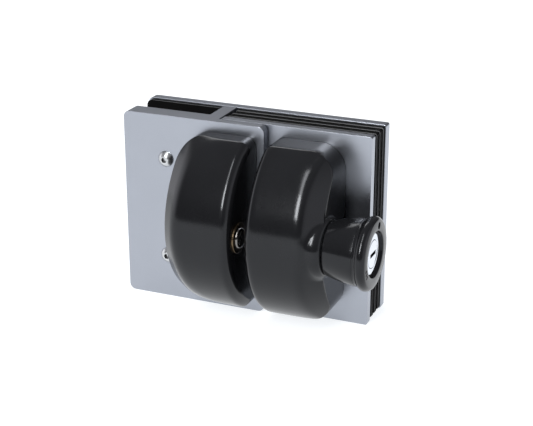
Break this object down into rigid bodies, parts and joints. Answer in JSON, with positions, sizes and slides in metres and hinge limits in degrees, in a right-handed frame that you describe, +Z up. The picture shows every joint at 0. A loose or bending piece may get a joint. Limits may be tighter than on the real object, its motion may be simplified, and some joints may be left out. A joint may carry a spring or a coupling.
{
  "type": "glass gate latch",
  "caption": "Magnetic latch for a frameless glass gate: slotted plates clamp the glass, two rounded housings face each other, a lockable pull knob frees the bolt.",
  "frame": {"origin": "edge of the fixed glass panel, at the middle of the slot's width and of the plates' height; this is the right face of the gate plate's web", "axes": "+X along the glass from the gate panel towards the pull knob, +Y through the glass away from the viewer, +Z up"},
  "size_m": [0.1296, 0.0632, 0.09],
  "materials": {
    "satin_plate": "satin",
    "black_moulding": "gloss",
    "black_plain_plastic": "matte",
    "black_rubber": "matte",
    "steel": "satin",
    "bright_chrome": "polished",
    "brass": "satin"
  },
  "bodies": {
    "fixed_half": {"back_plate": "satin_plate", "front_plate": "satin_plate", "stop_pad": "black_rubber", "rear_glass_pad": "black_rubber", "glass_packer_front": "black_rubber", "glass_packer_rear": "black_rubber", "spacer_sleeves": "steel", "fixed_glass_screws": "steel", "latch_housing": "black_moulding", "latch_housing_screws": "steel", "keeper_bush": "steel", "knob_guide_bush": "black_plain_plastic"},
    "gate_half": {"gate_plate": "satin_plate", "gate_gasket": "black_rubber", "gate_glass_screws": "steel", "sleeve_nuts": "steel", "striker_housing": "black_moulding", "striker_housing_screws": "steel", "bolt_bush": "brass"},
    "bolt": {"latch_bolt": "bright_chrome", "bolt_spring": "steel"},
    "knob": {"pull_knob": "black_moulding", "knob_end_cap": "black_moulding", "knob_rod": "steel", "magnet_carrier": "black_plain_plastic", "magnet": "bright_chrome", "return_spring": "steel", "lock_barrel": "bright_chrome"},
    "key": {"key_plug": "bright_chrome", "lock_cam": "steel"}
  },
  "joints": [
    {"name": "knob_pull", "type": "slide", "parent": "fixed_half", "child": "knob", "axis": [1, 0, 0], "range_m": [0, 0.008], "stiffness_N_per_m": 300, "deforming": ["return_spring"]},
    {"name": "key_turn", "type": "hinge", "parent": "knob", "child": "key", "pos_m": [0.0801, -0.0336, 0], "axis": [1, 0, 0], "range_deg": [0, 90]},
    {"name": "gate_open", "type": "slide", "parent": "fixed_half", "child": "gate_half", "axis": [0, -1, 0], "range_m": [0, 0.06]},
    {"name": "bolt_throw", "type": "slide", "parent": "gate_half", "child": "bolt", "axis": [1, 0, 0], "range_m": [0, 0.007], "stiffness_N_per_m": 60, "deforming": ["bolt_spring"]}
  ]
}
